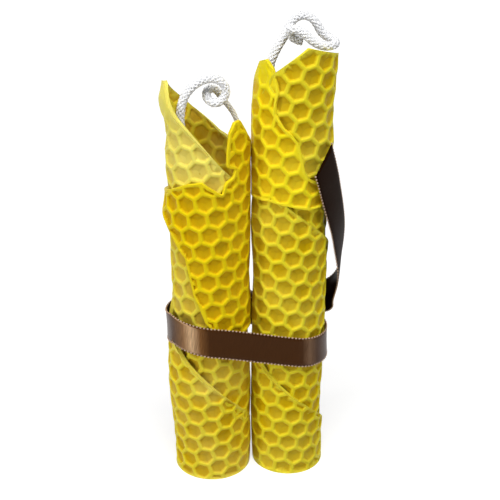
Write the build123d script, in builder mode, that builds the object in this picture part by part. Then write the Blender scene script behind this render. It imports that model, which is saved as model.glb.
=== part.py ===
"""Two rolled beeswax candles, each with its own wick, bound side by side by one tied satin ribbon.

Millimetres, +Z up. The origin is on the floor, under the middle of the bound pair.
Angles round a candle start at the front (-Y) and grow towards the right (+X).
"""

import os
from math import asin, atan2, cos, degrees, hypot, pi, radians, sin, sqrt, tan

from build123d import *

# Wax sheet and the way that it is rolled
sheet_thickness = 1.0
layer_gap = 0.08
wall_bow = 0.05
wrap_clearance = 0.1
steps_per_turn = 24
sheet_end_angle = 150.0

# Left candle
left_foot_radius = 10.8
left_spread = 0.00065
left_core_height = 85.0
left_flare = 1.5
left_flare_angle = -90.0
left_flare_start = left_core_height + 5.0
# Cut edge of the rolled sheet: turns inwards from the outer end, height above the foot
left_edge = (
    (0.0, 2.5),
    (1.67, left_core_height + 33.0),
    (2.07, left_core_height + 13.7),
    (2.25, left_core_height),
)
# Outer wrap: angle, lower edge, upper edge
left_wrap_outline = (
    (-120, 84.5, 86.5),
    (-90, 82.0, 88.0),
    (-75, 80.5, 89.0),
    (-45, 73.0, 92.0),
    (-30, 65.0, 93.0),
    (0, 48.0, 92.5),
    (15, 47.0, 90.5),
    (30, 47.0, 94.0),
    (45, 47.0, 108.5),
    (60, 47.0, 107.0),
    (90, 47.0, 100.0),
    (120, 47.0, 95.0),
    (195, 47.0, 92.0),
    (225, 60.0, 90.0),
)

# Right candle
right_foot_radius = 10.3
right_spread = 0.0015
right_core_height = 100.0
right_flare = 1.4
right_flare_angle = 80.0
right_flare_start = right_core_height - 4.0
right_edge = (
    (0.0, 2.7),
    (1.44, right_core_height - 15.1),
    (2.19, right_core_height + 24.5),
    (2.375, right_core_height + 28.2),
    (2.52, right_core_height + 21.5),
    (2.75, right_core_height),
)
right_wrap_outline = (
    (-225, 86.0, 98.0),
    (-180, 86.0, 102.0),
    (-120, 86.0, 112.0),
    (-75, 86.2, 121.0),
    (-60, 86.5, 124.0),
    (-45, 86.8, 122.8),
    (-30, 86.5, 113.0),
    (-15, 86.0, 107.0),
    (0, 85.5, 103.5),
    (15, 85.0, 93.8),
    (30, 85.0, 92.0),
    (75, 85.0, 89.0),
    (120, 85.0, 87.5),
)

# Honeycomb that is pressed into the sheets: hexagonal cells with ridges between them
cell_pitch = 5.3
cell_depth = 0.6
cell_width = 4.4
cell_floor_width = 3.2
cell_clearance = 3.2
# Lattice of a rolled sheet: outer end's radius, radius lost per turn, a cell's angle and height, row slope
left_roll_comb = (left_foot_radius + 0.4, 0.9, 0.0, 23.4, 20.0)
right_roll_comb = (right_foot_radius + 0.1, 0.75, -367.4, 56.2, -13.6)
# Lattice of a wrap: a cell's angle and height, row slope
left_wrap_comb = (18.6, 88.6, 8.2)
right_wrap_comb = (-7.8, 97.8, -16.5)

# Wicks, and the routes of their free stretches from the top of each core
wick_radius = 1.0
wick_clearance = 0.1
wick_lift = 0.5
bend_share = 0.45
left_wick_route = (
    (0.0, 0.0, 0.0),
    (0.0, 0.0, 3.5),
    (-2.4, -1.3, 9.0),
    (-5.5, -3.0, 15.0),
    (-7.0, -3.9, 21.0),
    (-7.0, -4.3, 26.0),
    (-5.9, -4.3, 30.0),
    (-3.6, -4.0, 32.7),
    (-0.9, -3.6, 34.1),
    (1.8, -3.3, 34.4),
    (4.2, -3.1, 33.1),
    (5.2, -3.0, 30.7),
    (4.2, -3.1, 28.3),
    (1.8, -3.1, 27.3),
    (-0.1, -2.2, 28.7),
    (0.2, -0.4, 30.6),
    (2.4, 0.9, 30.4),
    (4.3, 1.7, 27.6),
    (5.7, 2.4, 24.0),
    (6.3, 2.9, 20.0),
    (6.1, 3.0, 15.8),
    (5.4, 2.7, 12.0),
)
right_wick_route = (
    (0.0, 0.0, 0.0),
    (0.0, 0.0, 3.5),
    (-2.2, -0.3, 9.0),
    (-5.0, -0.9, 15.0),
    (-6.7, -1.0, 20.8),
    (-4.6, -0.4, 25.6),
    (-2.1, 0.5, 29.2),
    (-0.8, 1.0, 32.2),
    (1.4, 0.9, 34.0),
    (4.1, 0.5, 33.8),
    (5.9, 0.2, 31.8),
    (6.9, 0.0, 29.6),
    (8.7, -0.4, 28.3),
    (10.3, -1.7, 27.8),
    (10.2, -3.9, 27.5),
    (8.4, -5.0, 27.3),
    (5.9, -5.0, 27.6),
    (3.6, -4.7, 29.0),
    (1.6, -4.4, 31.0),
    (-0.6, -3.9, 31.8),
    (-1.6, -2.0, 30.6),
    (-0.4, -1.6, 28.4),
    (1.9, -1.9, 27.9),
)

# Ribbon
ribbon_width = 9.0
ribbon_thickness = 0.4
ribbon_clearance = 0.25
ribbon_height = 44.3
ribbon_tilt = 10.8
candle_gap = 0.25
knot_width = 9.5
knot_height = 10.0
knot_depth = 4.5
knot_corner = 1.0
knot_edge_radius = 1.4
# Tails: centre from the candle's axis, with its height in ribbon heights, and direction across
long_tail_route = (
    ((0.5, 12.6, 1.02), (0, 0, 1)),
    ((6.6, 11.2, 1.06), (0, 0.05, 1)),
    ((11.1, 6.6, 1.115), (0, 0.15, 1)),
    ((13.3, 4.6, 1.205), (0.12, 0.85, 0.5)),
    ((14.2, 0.6, 1.355), (0.1, 0.88, -0.47)),
    ((13.7, -0.8, 1.573), (0.43, 0.9, -0.05)),
    ((12.9, -2.8, 1.709), (0.52, 0.85, 0.06)),
    ((11.5, -4.6, 1.844), (0.61, 0.79, 0)),
    ((10.0, -6.1, 1.977), (0.66, 0.74, 0.13)),
    ((8.8, -7.6, 2.09), (0.67, 0.7, 0.24)),
    ((7.2, -9.0, 2.214), (0.72, 0.69, 0.11)),
)
short_tail_route = (
    ((1.5, 15.6, 1.084), (-0.1, 0.2, 0.97)),
    ((-1.5, 17.8, 1.061), (-0.45, 0.25, 0.85)),
    ((-4.0, 19.0, 0.937), (-0.8, 0.3, 0.5)),
    ((-5.0, 19.2, 0.745), (-0.93, 0.3, 0.15)),
    ((-5.3, 18.8, 0.553), (-0.95, 0.28, 0.05)),
    ((-5.5, 18.4, 0.361), (-0.96, 0.25, 0)),
    ((-5.6, 18.8, 0.169), (-0.96, 0.25, 0)),
    ((-5.6, 20.4, 0.058), (-0.96, 0.25, 0)),
)

os.makedirs("parts", exist_ok=True)


def between(points, x):
    """Heights at x on the straight runs through points, each a position and one or more heights."""
    for first, second in zip(points, points[1:]):
        if x <= second[0]:
            share = max(0, x - first[0]) / (second[0] - first[0])
            return [a + share * (b - a) for a, b in zip(first[1:], second[1:])]
    return list(points[-1][1:])


def outward(angle):
    """Level direction that points out of a candle at this angle."""
    return Vector(sin(radians(angle)), -cos(radians(angle)), 0)


def wall_section(axis, angle, corners):
    """Upright cut through a rolled sheet: corners are distances from the axis and heights."""
    out = outward(angle)
    with BuildSketch(Plane(origin=axis, x_dir=out, z_dir=out.cross(Vector(0, 0, 1)))) as section:
        with BuildLine():
            Polyline(*corners, close=True)
        make_face()
    return section.sketch


def roll_sections(axis, foot_radius, spread, edge, flare, flare_angle, flare_start):
    """Cuts through a sheet that is rolled round the wick, from its outer end to the wick.

    The roll is tight at the foot and opens towards the top, and its mouth flares to one side.
    """
    turns = (foot_radius - sheet_thickness - wick_radius - wick_clearance) / layer_pitch
    core_turn = edge[-1][0]
    top = max(height for _, height in edge)
    sections = []
    for step in range(int(turns * steps_per_turn) + 1):
        turn = step / steps_per_turn
        # The hidden turns of the core get every second cut
        if turn > core_turn and step % 2:
            continue
        angle = sheet_end_angle - step * step_angle
        inner = foot_radius - sheet_thickness - layer_pitch * turn
        height = between(edge, turn)[0]
        knee = flare_start if height > flare_start else height / 2
        at_knee = inner * (1 + spread * knee) + wall_bow
        at_top = inner * (1 + spread * height)
        if height > flare_start:
            lean = max(0, cos(radians(angle - flare_angle)))
            at_top += flare * lean * (height - flare_start) / (top - flare_start)
        corners = (
            (inner, 0),
            (inner + sheet_thickness, 0),
            (at_knee + sheet_thickness, knee),
            (at_top + sheet_thickness, height),
            (at_top, height),
            (at_knee, knee),
        )
        sections.append(wall_section(axis, angle, corners))
    return sections


def wrap_radius(foot_radius, spread, edge, outline):
    """Outer radius of a wrap that lies on a roll, where the roll's cut edge passes the wrap's foot."""
    foot = min(low for _, low, _ in outline)
    turns = between([(height, turn) for turn, height in edge], foot)[0]
    inner = foot_radius - sheet_thickness - layer_pitch * turns
    roll_radius = inner * (1 + spread * foot) + wall_bow + sheet_thickness
    return roll_radius + wrap_clearance + sheet_thickness


def wrap_sections(axis, radius, outline):
    """Cuts through a sheet that is wrapped once round the outside of a roll."""
    first, last = outline[0][0], outline[-1][0]
    sections = []
    for step in range(int((last - first) / step_angle) + 1):
        angle = first + step * step_angle
        low, high = between(outline, angle)
        inner = radius - sheet_thickness
        corners = ((inner, low), (radius, low), (radius, high), (inner, high))
        sections.append(wall_section(axis, angle, corners))
    return sections


def lattice(slope, reach):
    """Places of the cells round a middle one, on a flat sheet whose rows rise by an angle."""
    along = Vector(cos(radians(slope)), sin(radians(slope)))
    across = Vector(-along.Y, along.X)
    columns = int(reach / cell_pitch) + 1
    rows = int(reach / row_pitch) + 1
    places = []
    for row in range(-rows, rows + 1):
        for column in range(-columns, columns + 1):
            places.append(along * (column + row % 2 / 2) * cell_pitch + across * row * row_pitch)
    return places


def cell_plane(axis, angle, radius, height, slope):
    """Plane of a cell on a sheet's outer face, whose x direction follows the row."""
    out = outward(angle)
    level = Vector(0, 0, 1).cross(out)
    row = level * cos(radians(slope)) + Vector(0, 0, 1) * sin(radians(slope))
    return Plane(origin=axis + out * radius + Vector(0, 0, height), x_dir=row, z_dir=out)


def covered(outline, angle, height):
    """Whether a wrap lies over a cell of the roll, or close to it."""
    for full_turn in (-360, 0, 360):
        unwound = (angle + 180) % 360 - 180 + full_turn
        if outline[0][0] - step_angle < unwound < outline[-1][0] + step_angle:
            low, high = between(outline, unwound)
            if low - cell_clearance < height < high + cell_clearance:
                return True
    return False


def roll_cells(axis, foot_radius, spread, edge, flare, flare_angle, flare_start, comb, outline):
    """Planes of the whole cells that show on a rolled sheet, clear of its edge, its next turn and its wrap.

    The roll opens towards the top, so its flat sheet is a slice of a wide ring.
    """
    radius, loss, cell_angle, cell_height, slope = comb
    ring = 1 / spread
    top = max(height for _, height in edge)
    cell_turn = (sheet_end_angle - cell_angle) / 360
    cell_lean = 2 * pi * (radius * cell_turn - loss * cell_turn**2 / 2) / ring
    middle = Vector(-sin(cell_lean), cos(cell_lean)) * (ring + cell_height)
    planes = []
    for place in lattice(slope + degrees(cell_lean), 2 * pi * radius * edge[-1][0]):
        place += middle
        lean = atan2(-place.X, place.Y)
        height = hypot(place.X, place.Y) - ring
        turn = (radius - sqrt(max(0, radius**2 - loss * lean * ring / pi))) / loss
        angle = sheet_end_angle - 360 * turn
        outer = foot_radius - layer_pitch * turn + (foot_radius - sheet_thickness) * spread * height
        side = cell_clearance / (2 * pi * outer)
        above = min(between(edge, turn - side)[0], between(edge, turn + side)[0])
        below = max(between(edge, turn - 1 - side)[0], between(edge, turn - 1 + side)[0])
        if turn < 1 - side:
            below = 0
        whole = below + cell_clearance < height < above - cell_clearance
        if turn < side or not whole or covered(outline, angle, height):
            continue
        if height > flare_start:
            lean_out = max(0, cos(radians(angle - flare_angle)))
            outer += flare * lean_out * (height - flare_start) / (top - flare_start)
        planes.append(cell_plane(axis, angle, outer, height, slope + degrees(cell_lean - lean)))
    return planes


def wrap_cells(axis, radius, comb, outline):
    """Planes of the whole cells on a wrap."""
    cell_angle, cell_height, slope = comb
    side = degrees(cell_clearance / radius)
    planes = []
    for place in lattice(slope, 2 * pi * radius):
        angle = cell_angle + degrees(place.X / radius)
        height = cell_height + place.Y
        if not outline[0][0] + side < angle < outline[-1][0] - side:
            continue
        lows, highs = zip(*(between(outline, angle + share * side) for share in (-1, -0.5, 0, 0.5, 1)))
        if max(lows) + cell_clearance < height < min(highs) - cell_clearance:
            planes.append(cell_plane(axis, angle, radius, height, slope))
    return planes


def bend_radii(points):
    """Largest tangent arcs that fit at the corners of a route."""
    radii = []
    for before, corner, after in zip(points, points[1:], points[2:]):
        arriving, leaving = corner - before, after - corner
        half_turn = radians(arriving.get_angle(leaving)) / 2
        radii.append(bend_share * min(arriving.length, leaving.length) / tan(half_turn))
    return radii


def strip_sections(stations):
    """Cuts across a ribbon that runs through stations of centre, direction across and travel."""
    sections = []
    for centre, across, travel in stations:
        with BuildSketch(Plane(origin=centre, x_dir=across, z_dir=travel)) as section:
            Rectangle(ribbon_width, ribbon_thickness)
        sections.append(section.sketch)
    return sections


def tail_stations(start, start_across, start_travel, axis, route):
    """Stations of a ribbon tail: the first leaves the knot square, the rest follow the route."""
    centres = [start]
    for (x, y, height), _ in route:
        centres.append(axis + Vector(x, y, height * ribbon_height))
    stations = [(start, start_across, start_travel)]
    for index, (_, across) in enumerate(route, start=1):
        following = centres[min(index + 1, len(centres) - 1)]
        travel = (following - centres[index - 1]).normalized()
        level = Vector(*across)
        square = level - travel * level.dot(travel)
        stations.append((centres[index], square, travel))
    return stations


def path_length(centres):
    """Length of the straight runs through a list of points."""
    return sum((second - first).length for first, second in zip(centres, centres[1:]))


# Radii and places that follow from the values above
layer_pitch = sheet_thickness + layer_gap
step_angle = 360 / steps_per_turn
left_wrap_radius = wrap_radius(left_foot_radius, left_spread, left_edge, left_wrap_outline)
right_wrap_radius = wrap_radius(right_foot_radius, right_spread, right_edge, right_wrap_outline)
left_band_inner = left_wrap_radius + ribbon_clearance
right_band_inner = right_foot_radius + ribbon_clearance
left_band_outer = left_band_inner + ribbon_thickness
right_band_outer = right_band_inner + ribbon_thickness
axis_spacing = left_wrap_radius + candle_gap + right_wrap_radius
band_length = left_band_outer + axis_spacing + right_band_outer
span_offset = (left_band_outer + right_band_outer) / 2
axis_y = (left_band_outer - span_offset - knot_depth) / 2
left_axis = Vector(left_band_outer - band_length / 2, axis_y, 0)
right_axis = left_axis + Vector(axis_spacing, 0, 0)
span_angle = asin((left_band_outer - right_band_outer) / axis_spacing)
left_core_top = left_axis + Vector(0, 0, left_core_height)
right_core_top = right_axis + Vector(0, 0, right_core_height)
left_sheet = (
    left_axis,
    left_foot_radius,
    left_spread,
    left_edge,
    left_flare,
    left_flare_angle,
    left_flare_start,
)
right_sheet = (
    right_axis,
    right_foot_radius,
    right_spread,
    right_edge,
    right_flare,
    right_flare_angle,
    right_flare_start,
)

# Cutter for one cell: its walls lean out, and it stands above the sheet without reaching the next cell
row_pitch = cell_pitch * sqrt(3) / 2
cell_lean_out = (cell_width - cell_floor_width) / cell_depth
cell_lift = 0.8 * (cell_pitch - cell_width) / cell_lean_out
with BuildPart() as cell:
    with BuildSketch(Plane.XY.offset(-cell_depth)):
        RegularPolygon(cell_floor_width / 2, 6, major_radius=False, rotation=30)
    with BuildSketch(Plane.XY.offset(cell_lift)):
        RegularPolygon((cell_width + cell_lean_out * cell_lift) / 2, 6, major_radius=False, rotation=30)
    loft()

# Left candle: wick in the middle, sheet rolled round it, second sheet wrapped round the upper half
with BuildPart() as left_wick_core:
    with BuildSketch(Plane(origin=left_axis + Vector(0, 0, wick_lift))):
        Circle(wick_radius)
    extrude(amount=left_core_height - wick_lift)
left_wick_core.part.label = "left_wick_core"
export_step(left_wick_core.part, "parts/left_wick_core.step")

with BuildPart() as left_main_roll:
    loft(roll_sections(*left_sheet), ruled=True)
    with Locations(*roll_cells(*left_sheet, left_roll_comb, left_wrap_outline)):
        add(cell.part, mode=Mode.SUBTRACT)
left_main_roll.part.label = "left_main_roll"
export_step(left_main_roll.part, "parts/left_main_roll.step")

with BuildPart() as left_outer_wrap:
    loft(wrap_sections(left_axis, left_wrap_radius, left_wrap_outline), ruled=True)
    with Locations(*wrap_cells(left_axis, left_wrap_radius, left_wrap_comb, left_wrap_outline)):
        add(cell.part, mode=Mode.SUBTRACT)
left_outer_wrap.part.label = "left_outer_wrap"
export_step(left_outer_wrap.part, "parts/left_outer_wrap.step")

left_wick_points = [left_core_top + Vector(*point) for point in left_wick_route]
with BuildPart() as left_wick_loop:
    with BuildLine():
        left_wick_path = FilletPolyline(*left_wick_points, radius=bend_radii(left_wick_points))
    with BuildSketch(Plane(origin=left_wick_points[0])):
        Circle(wick_radius)
    sweep()
left_wick_loop.part.label = "left_wick_loop"
export_step(left_wick_loop.part, "parts/left_wick_loop.step")

# Right candle
with BuildPart() as right_wick_core:
    with BuildSketch(Plane(origin=right_axis + Vector(0, 0, wick_lift))):
        Circle(wick_radius)
    extrude(amount=right_core_height - wick_lift)
right_wick_core.part.label = "right_wick_core"
export_step(right_wick_core.part, "parts/right_wick_core.step")

with BuildPart() as right_main_roll:
    loft(roll_sections(*right_sheet), ruled=True)
    with Locations(*roll_cells(*right_sheet, right_roll_comb, right_wrap_outline)):
        add(cell.part, mode=Mode.SUBTRACT)
right_main_roll.part.label = "right_main_roll"
export_step(right_main_roll.part, "parts/right_main_roll.step")

with BuildPart() as right_outer_wrap:
    loft(wrap_sections(right_axis, right_wrap_radius, right_wrap_outline), ruled=True)
    with Locations(*wrap_cells(right_axis, right_wrap_radius, right_wrap_comb, right_wrap_outline)):
        add(cell.part, mode=Mode.SUBTRACT)
right_outer_wrap.part.label = "right_outer_wrap"
export_step(right_outer_wrap.part, "parts/right_outer_wrap.step")

right_wick_points = [right_core_top + Vector(*point) for point in right_wick_route]
with BuildPart() as right_wick_loop:
    with BuildLine():
        right_wick_path = FilletPolyline(*right_wick_points, radius=bend_radii(right_wick_points))
    with BuildSketch(Plane(origin=right_wick_points[0])):
        Circle(wick_radius)
    sweep()
right_wick_loop.part.label = "right_wick_loop"
export_step(right_wick_loop.part, "parts/right_wick_loop.step")

# Ribbon: a band round both candles, cut from an upright loop by two slanting planes
band_normal = Vector(sin(radians(ribbon_tilt)), 0, cos(radians(ribbon_tilt)))
band_centre = Vector(0, 0, ribbon_height)
with BuildSketch() as band_opening:
    with Locations(left_axis):
        Circle(left_band_inner)
    with Locations(right_axis):
        Circle(right_band_inner)
    make_hull()

with BuildPart() as ribbon_band:
    with BuildSketch():
        with Locations(left_axis):
            Circle(left_band_outer)
        with Locations(right_axis):
            Circle(right_band_outer)
        make_hull()
        add(band_opening.sketch, mode=Mode.SUBTRACT)
    extrude(amount=2 * ribbon_height)
    split(bisect_by=Plane(band_centre + band_normal * ribbon_width / 2, z_dir=band_normal), keep=Keep.BOTTOM)
    split(bisect_by=Plane(band_centre - band_normal * ribbon_width / 2, z_dir=band_normal), keep=Keep.TOP)
ribbon_band.part.label = "ribbon_band"
export_step(ribbon_band.part, "parts/ribbon_band.step")

# The knot lies on the band's back, over the valley between the candles
valley_x = left_axis.X + left_wrap_radius + candle_gap / 2
along_span = Vector(cos(span_angle), -sin(span_angle), 0)
off_span = Vector(sin(span_angle), cos(span_angle), 0)
valley_offset = (left_band_outer - (valley_x - left_axis.X) * sin(span_angle)) / cos(span_angle)
knot_height_at_valley = ribbon_height - valley_x * tan(radians(ribbon_tilt))
knot_plane = Plane(
    origin=(valley_x, axis_y + valley_offset, knot_height_at_valley),
    x_dir=along_span,
    z_dir=off_span,
)
with BuildPart() as ribbon_knot:
    with BuildSketch(knot_plane):
        RectangleRounded(knot_width, knot_height, knot_corner)
    extrude(amount=knot_depth)
    fillet(ribbon_knot.faces().sort_by(Axis(knot_plane.origin, off_span))[-1].edges(), knot_edge_radius)
ribbon_knot.part.label = "ribbon_knot"
export_step(ribbon_knot.part, "parts/ribbon_knot.step")

upright = Vector(0, 0, 1)
long_tail_start = knot_plane.from_local_coords(Vector(knot_width / 2, 0, knot_depth / 2))
long_tail_stations = tail_stations(long_tail_start, upright, along_span, right_axis, long_tail_route)
with BuildPart() as ribbon_tail_long:
    loft(strip_sections(long_tail_stations), ruled=True)
ribbon_tail_long.part.label = "ribbon_tail_long"
export_step(ribbon_tail_long.part, "parts/ribbon_tail_long.step")

short_tail_start = knot_plane.from_local_coords(Vector(-knot_width / 2, 0, knot_depth / 2))
short_tail_stations = tail_stations(short_tail_start, upright, -along_span, left_axis, short_tail_route)
with BuildPart() as ribbon_tail_short:
    loft(strip_sections(short_tail_stations), ruled=True)
ribbon_tail_short.part.label = "ribbon_tail_short"
export_step(ribbon_tail_short.part, "parts/ribbon_tail_short.step")

# Bends and volumes of the cords
for name, points, path, tube in (
    ("left wick", left_wick_points, left_wick_path, left_wick_loop),
    ("right wick", right_wick_points, right_wick_path, right_wick_loop),
):
    length = path.length
    expected = length * pi * wick_radius**2
    print(name, "length", round(length, 1), "volume share", round(tube.part.volume / expected, 4))
    print(name, "bend radii", [round(radius, 1) for radius in bend_radii(points)])
for name, stations, strip in (
    ("long tail", long_tail_stations, ribbon_tail_long),
    ("short tail", short_tail_stations, ribbon_tail_short),
):
    length = path_length([centre for centre, _, _ in stations])
    expected = length * ribbon_width * ribbon_thickness
    print(name, "length", round(length, 1), "volume share", round(strip.part.volume / expected, 4))
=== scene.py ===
# %% [markdown]
# # Two rolled beeswax candles, tied with a ribbon
# Each candle is a sheet of honeycomb wax that is rolled round a cotton wick, with a second sheet wrapped
# round its upper part. One satin ribbon binds the pair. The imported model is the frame: it gives the
# places of the candles, and every piece that is made here stands in for one of its nodes.

# %% Load the frame
from math import cos, pi, radians, sin, sqrt, tan

import bmesh
import bpy
import numpy as np
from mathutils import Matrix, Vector


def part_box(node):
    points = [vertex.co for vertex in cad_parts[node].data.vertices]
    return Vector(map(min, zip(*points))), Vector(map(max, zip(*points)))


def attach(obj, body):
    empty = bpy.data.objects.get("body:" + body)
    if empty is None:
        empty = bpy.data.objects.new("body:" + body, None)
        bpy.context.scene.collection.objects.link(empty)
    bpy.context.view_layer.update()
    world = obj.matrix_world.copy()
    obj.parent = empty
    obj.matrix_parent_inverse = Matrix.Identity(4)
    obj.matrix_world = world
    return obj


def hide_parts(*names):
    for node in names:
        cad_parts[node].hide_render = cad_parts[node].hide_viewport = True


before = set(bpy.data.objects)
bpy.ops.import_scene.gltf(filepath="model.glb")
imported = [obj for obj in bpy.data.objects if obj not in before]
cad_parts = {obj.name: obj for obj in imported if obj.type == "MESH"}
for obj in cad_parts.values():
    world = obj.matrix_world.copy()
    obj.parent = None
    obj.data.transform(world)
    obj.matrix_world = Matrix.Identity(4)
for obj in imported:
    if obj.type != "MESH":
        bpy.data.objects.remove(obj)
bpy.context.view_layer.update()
mm = 0.001
scene = bpy.context.scene
scene.view_settings.view_transform = "Standard"


def axis_of(core):
    """Middle of a wick's core, which is the axis of its candle."""
    low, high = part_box(core)
    return np.array([(low[0] + high[0]) / 2, (low[1] + high[1]) / 2, 0])


left_axis = axis_of("left_wick_core")
right_axis = axis_of("right_wick_core")
print("axes in mm", (left_axis / mm).round(2), (right_axis / mm).round(2))

# %% [markdown]
# ## Camera and lamps
# The camera stands in front, a little to the left, and looks down at the pair. A long lens keeps the
# candles nearly upright in the picture. As in a product picture, a soft box hangs above and in front. A
# tall window lights the pair from the left, and a weaker one from the right.

# %% Camera and lamps
camera_place = Vector((-27.2, -295.8, 212.5)) * mm
camera_target = Vector((0.7, -1.9, 68.7)) * mm
focal_length = 85.75
candles_middle = Vector((0, 0, 0.065))


def aimed(name, data, place, target):
    """Camera or lamp at a place that looks at a target."""
    item = bpy.data.objects.new(name, data)
    item.location = place
    item.rotation_euler = (target - place).to_track_quat("-Z", "Y").to_euler()
    scene.collection.objects.link(item)
    return item


scene.camera = aimed("camera", bpy.data.cameras.new("camera"), camera_place, camera_target)
scene.camera.data.lens = focal_length
scene.camera.data.clip_start = 0.01

for name, place, width, height, power in (
    ("top light", (0.0, -0.18, 0.5), 0.25, 0.25, 1.7),
    ("left window", (-0.5, -0.26, 0.25), 0.12, 0.48, 1.5),
    ("right window", (0.5, -0.3, 0.25), 0.1, 0.48, 0.6),
):
    lamp = bpy.data.lights.new(name, "AREA")
    lamp.shape = "RECTANGLE"
    lamp.size, lamp.size_y, lamp.energy = width, height, power
    aimed(name, lamp, Vector(place), candles_middle)
print("camera", round((camera_target - camera_place).length, 3), "m from its target")

# %% [markdown]
# ## Node helpers
# Surroundings, materials and repeated shapes are all node trees. These helpers make a node, set or link its
# inputs, and do the sums that come back often.

# %% Node helpers


def feed(tree, node, inputs):
    """Gives a node its inputs: a socket is linked, any other value is set."""
    for name, value in inputs.items():
        if isinstance(value, bpy.types.NodeSocket):
            tree.links.new(value, node.inputs[name])
        else:
            node.inputs[name].default_value = value
    return node


def add_node(tree, kind, inputs={}, **settings):
    """New node with its settings and inputs."""
    node = tree.nodes.new(kind)
    for setting, value in settings.items():
        setattr(node, setting, value)
    return feed(tree, node, inputs)


def math_node(tree, operation, first, second):
    """Math on sockets or numbers."""
    return add_node(tree, "ShaderNodeMath", {0: first, 1: second}, operation=operation).outputs[0]


def map_range(tree, value, low, high, new_low, new_high):
    """Value moved from one range into another."""
    inputs = {"Value": value, "From Min": low, "From Max": high, "To Min": new_low, "To Max": new_high}
    return add_node(tree, "ShaderNodeMapRange", inputs).outputs["Result"]


# %% [markdown]
# ## White surroundings and floor
# The surroundings fill in the rest of the light. They look white only to the rays that see them directly
# or in a reflection, so they put no extra light on the wax. The floor looks white in the same way, and
# keeps the soft shadow under the candles.

# %% White surroundings and floor


def seen_directly(tree):
    """One for camera, glossy and transmission rays, zero for the rays that carry light."""
    path = add_node(tree, "ShaderNodeLightPath").outputs
    seen = path["Is Camera Ray"]
    for kind in ("Is Glossy Ray", "Is Transmission Ray"):
        seen = math_node(tree, "MAXIMUM", seen, path[kind])
    return seen


def white_surroundings(ambient):
    """World that looks white, and lights the object more weakly than it looks."""
    scene.world = bpy.data.worlds.new("surroundings")
    scene.world.use_nodes = True
    tree = scene.world.node_tree
    strength = map_range(tree, seen_directly(tree), 0, 1, ambient, 1)
    feed(tree, tree.nodes["Background"], {"Color": (1, 1, 1, 1), "Strength": strength})


def new_material(name):
    """Material with its node tree, and its shader."""
    material = bpy.data.materials.new(name)
    material.use_nodes = True
    return material, material.node_tree, material.node_tree.nodes["Principled BSDF"]


def pale_floor(size):
    """Wide white floor that keeps the soft shadow under the candles."""
    mesh = bpy.data.meshes.new("floor")
    corners = [(-size, -size, 0), (size, -size, 0), (size, size, 0), (-size, size, 0)]
    mesh.from_pydata(corners, [], [(0, 1, 2, 3)])
    material, tree, shader = new_material("white floor")
    place = add_node(tree, "ShaderNodeTexCoord").outputs["Object"]
    away = add_node(tree, "ShaderNodeVectorMath", {0: place}, operation="LENGTH").outputs["Value"]
    fade = map_range(tree, away, 0.06, 0.5, 0.68, 1.0)
    looks = {
        "Base Color": (0.55, 0.55, 0.55, 1),
        "Roughness": 0.9,
        "Specular IOR Level": 0.1,
        "Emission Color": (1, 1, 1, 1),
        "Emission Strength": math_node(tree, "MULTIPLY", seen_directly(tree), fade),
    }
    feed(tree, shader, looks)
    mesh.materials.append(material)
    floor = bpy.data.objects.new("floor", mesh)
    scene.collection.objects.link(floor)


white_surroundings(0.13)
pale_floor(3.0)

# %% [markdown]
# ## Cotton
# A candle wick is a braid of white cotton. The braid itself is modelled, so the material only has the
# fuzz of the yarn: fine twisted fibres along each strand, and a soft sheen.

# %% Cotton material


def object_noise(tree, scale, detail=3.0, roughness=0.55):
    """Noise on the piece's own coordinates."""
    place = add_node(tree, "ShaderNodeTexCoord").outputs["Object"]
    inputs = {"Scale": scale, "Detail": detail, "Roughness": roughness, "Vector": place}
    return add_node(tree, "ShaderNodeTexNoise", inputs).outputs["Fac"]


def ramp(tree, value, stops):
    """Colour ramp over a value: stops are places and colours."""
    node = add_node(tree, "ShaderNodeValToRGB", {"Fac": value})
    while len(node.color_ramp.elements) < len(stops):
        node.color_ramp.elements.new(0.5)
    for element, (place, colour) in zip(node.color_ramp.elements, stops):
        element.position = place
        element.color = (*colour, 1)
    return node.outputs["Color"]


def blend_colours(tree, share, first, second, mode="MIX"):
    """Mix of two colours by a share. Each is a socket or a plain value."""
    inputs = {}
    for number, value in zip((0, 6, 7), (share, first, second)):
        ready = isinstance(value, (float, bpy.types.NodeSocket))
        inputs[number] = value if ready else (*value, 1)
    return add_node(tree, "ShaderNodeMix", inputs, data_type="RGBA", blend_type=mode).outputs[2]


def bump(tree, height, strength, distance):
    """Normal that is bumped by a height."""
    inputs = {"Strength": strength, "Distance": distance, "Height": height}
    return add_node(tree, "ShaderNodeBump", inputs).outputs["Normal"]


def cotton():
    """White cotton yarn with fine fibres."""
    material, tree, shader = new_material("cotton yarn")
    fibres = object_noise(tree, 2600, detail=4)
    looks = {
        "Base Color": ramp(tree, fibres, ((0.3, (0.82, 0.83, 0.85)), (0.7, (0.95, 0.95, 0.96)))),
        "Roughness": 0.85,
        "Specular IOR Level": 0.2,
        "Sheen Weight": 0.3,
        "Sheen Roughness": 0.5,
        "Normal": bump(tree, fibres, 0.5, 0.0001),
    }
    feed(tree, shader, looks)
    return material


cotton_yarn = cotton()

# %% [markdown]
# ## Wicks
# A wick stands up out of the middle of its roll, leans on the rim and curls over. Its route is a list of
# points, and a smooth spline runs along them. The yarns of the wick follow points that are read from the
# spline, with a frame that is carried along it without twisting.

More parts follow.
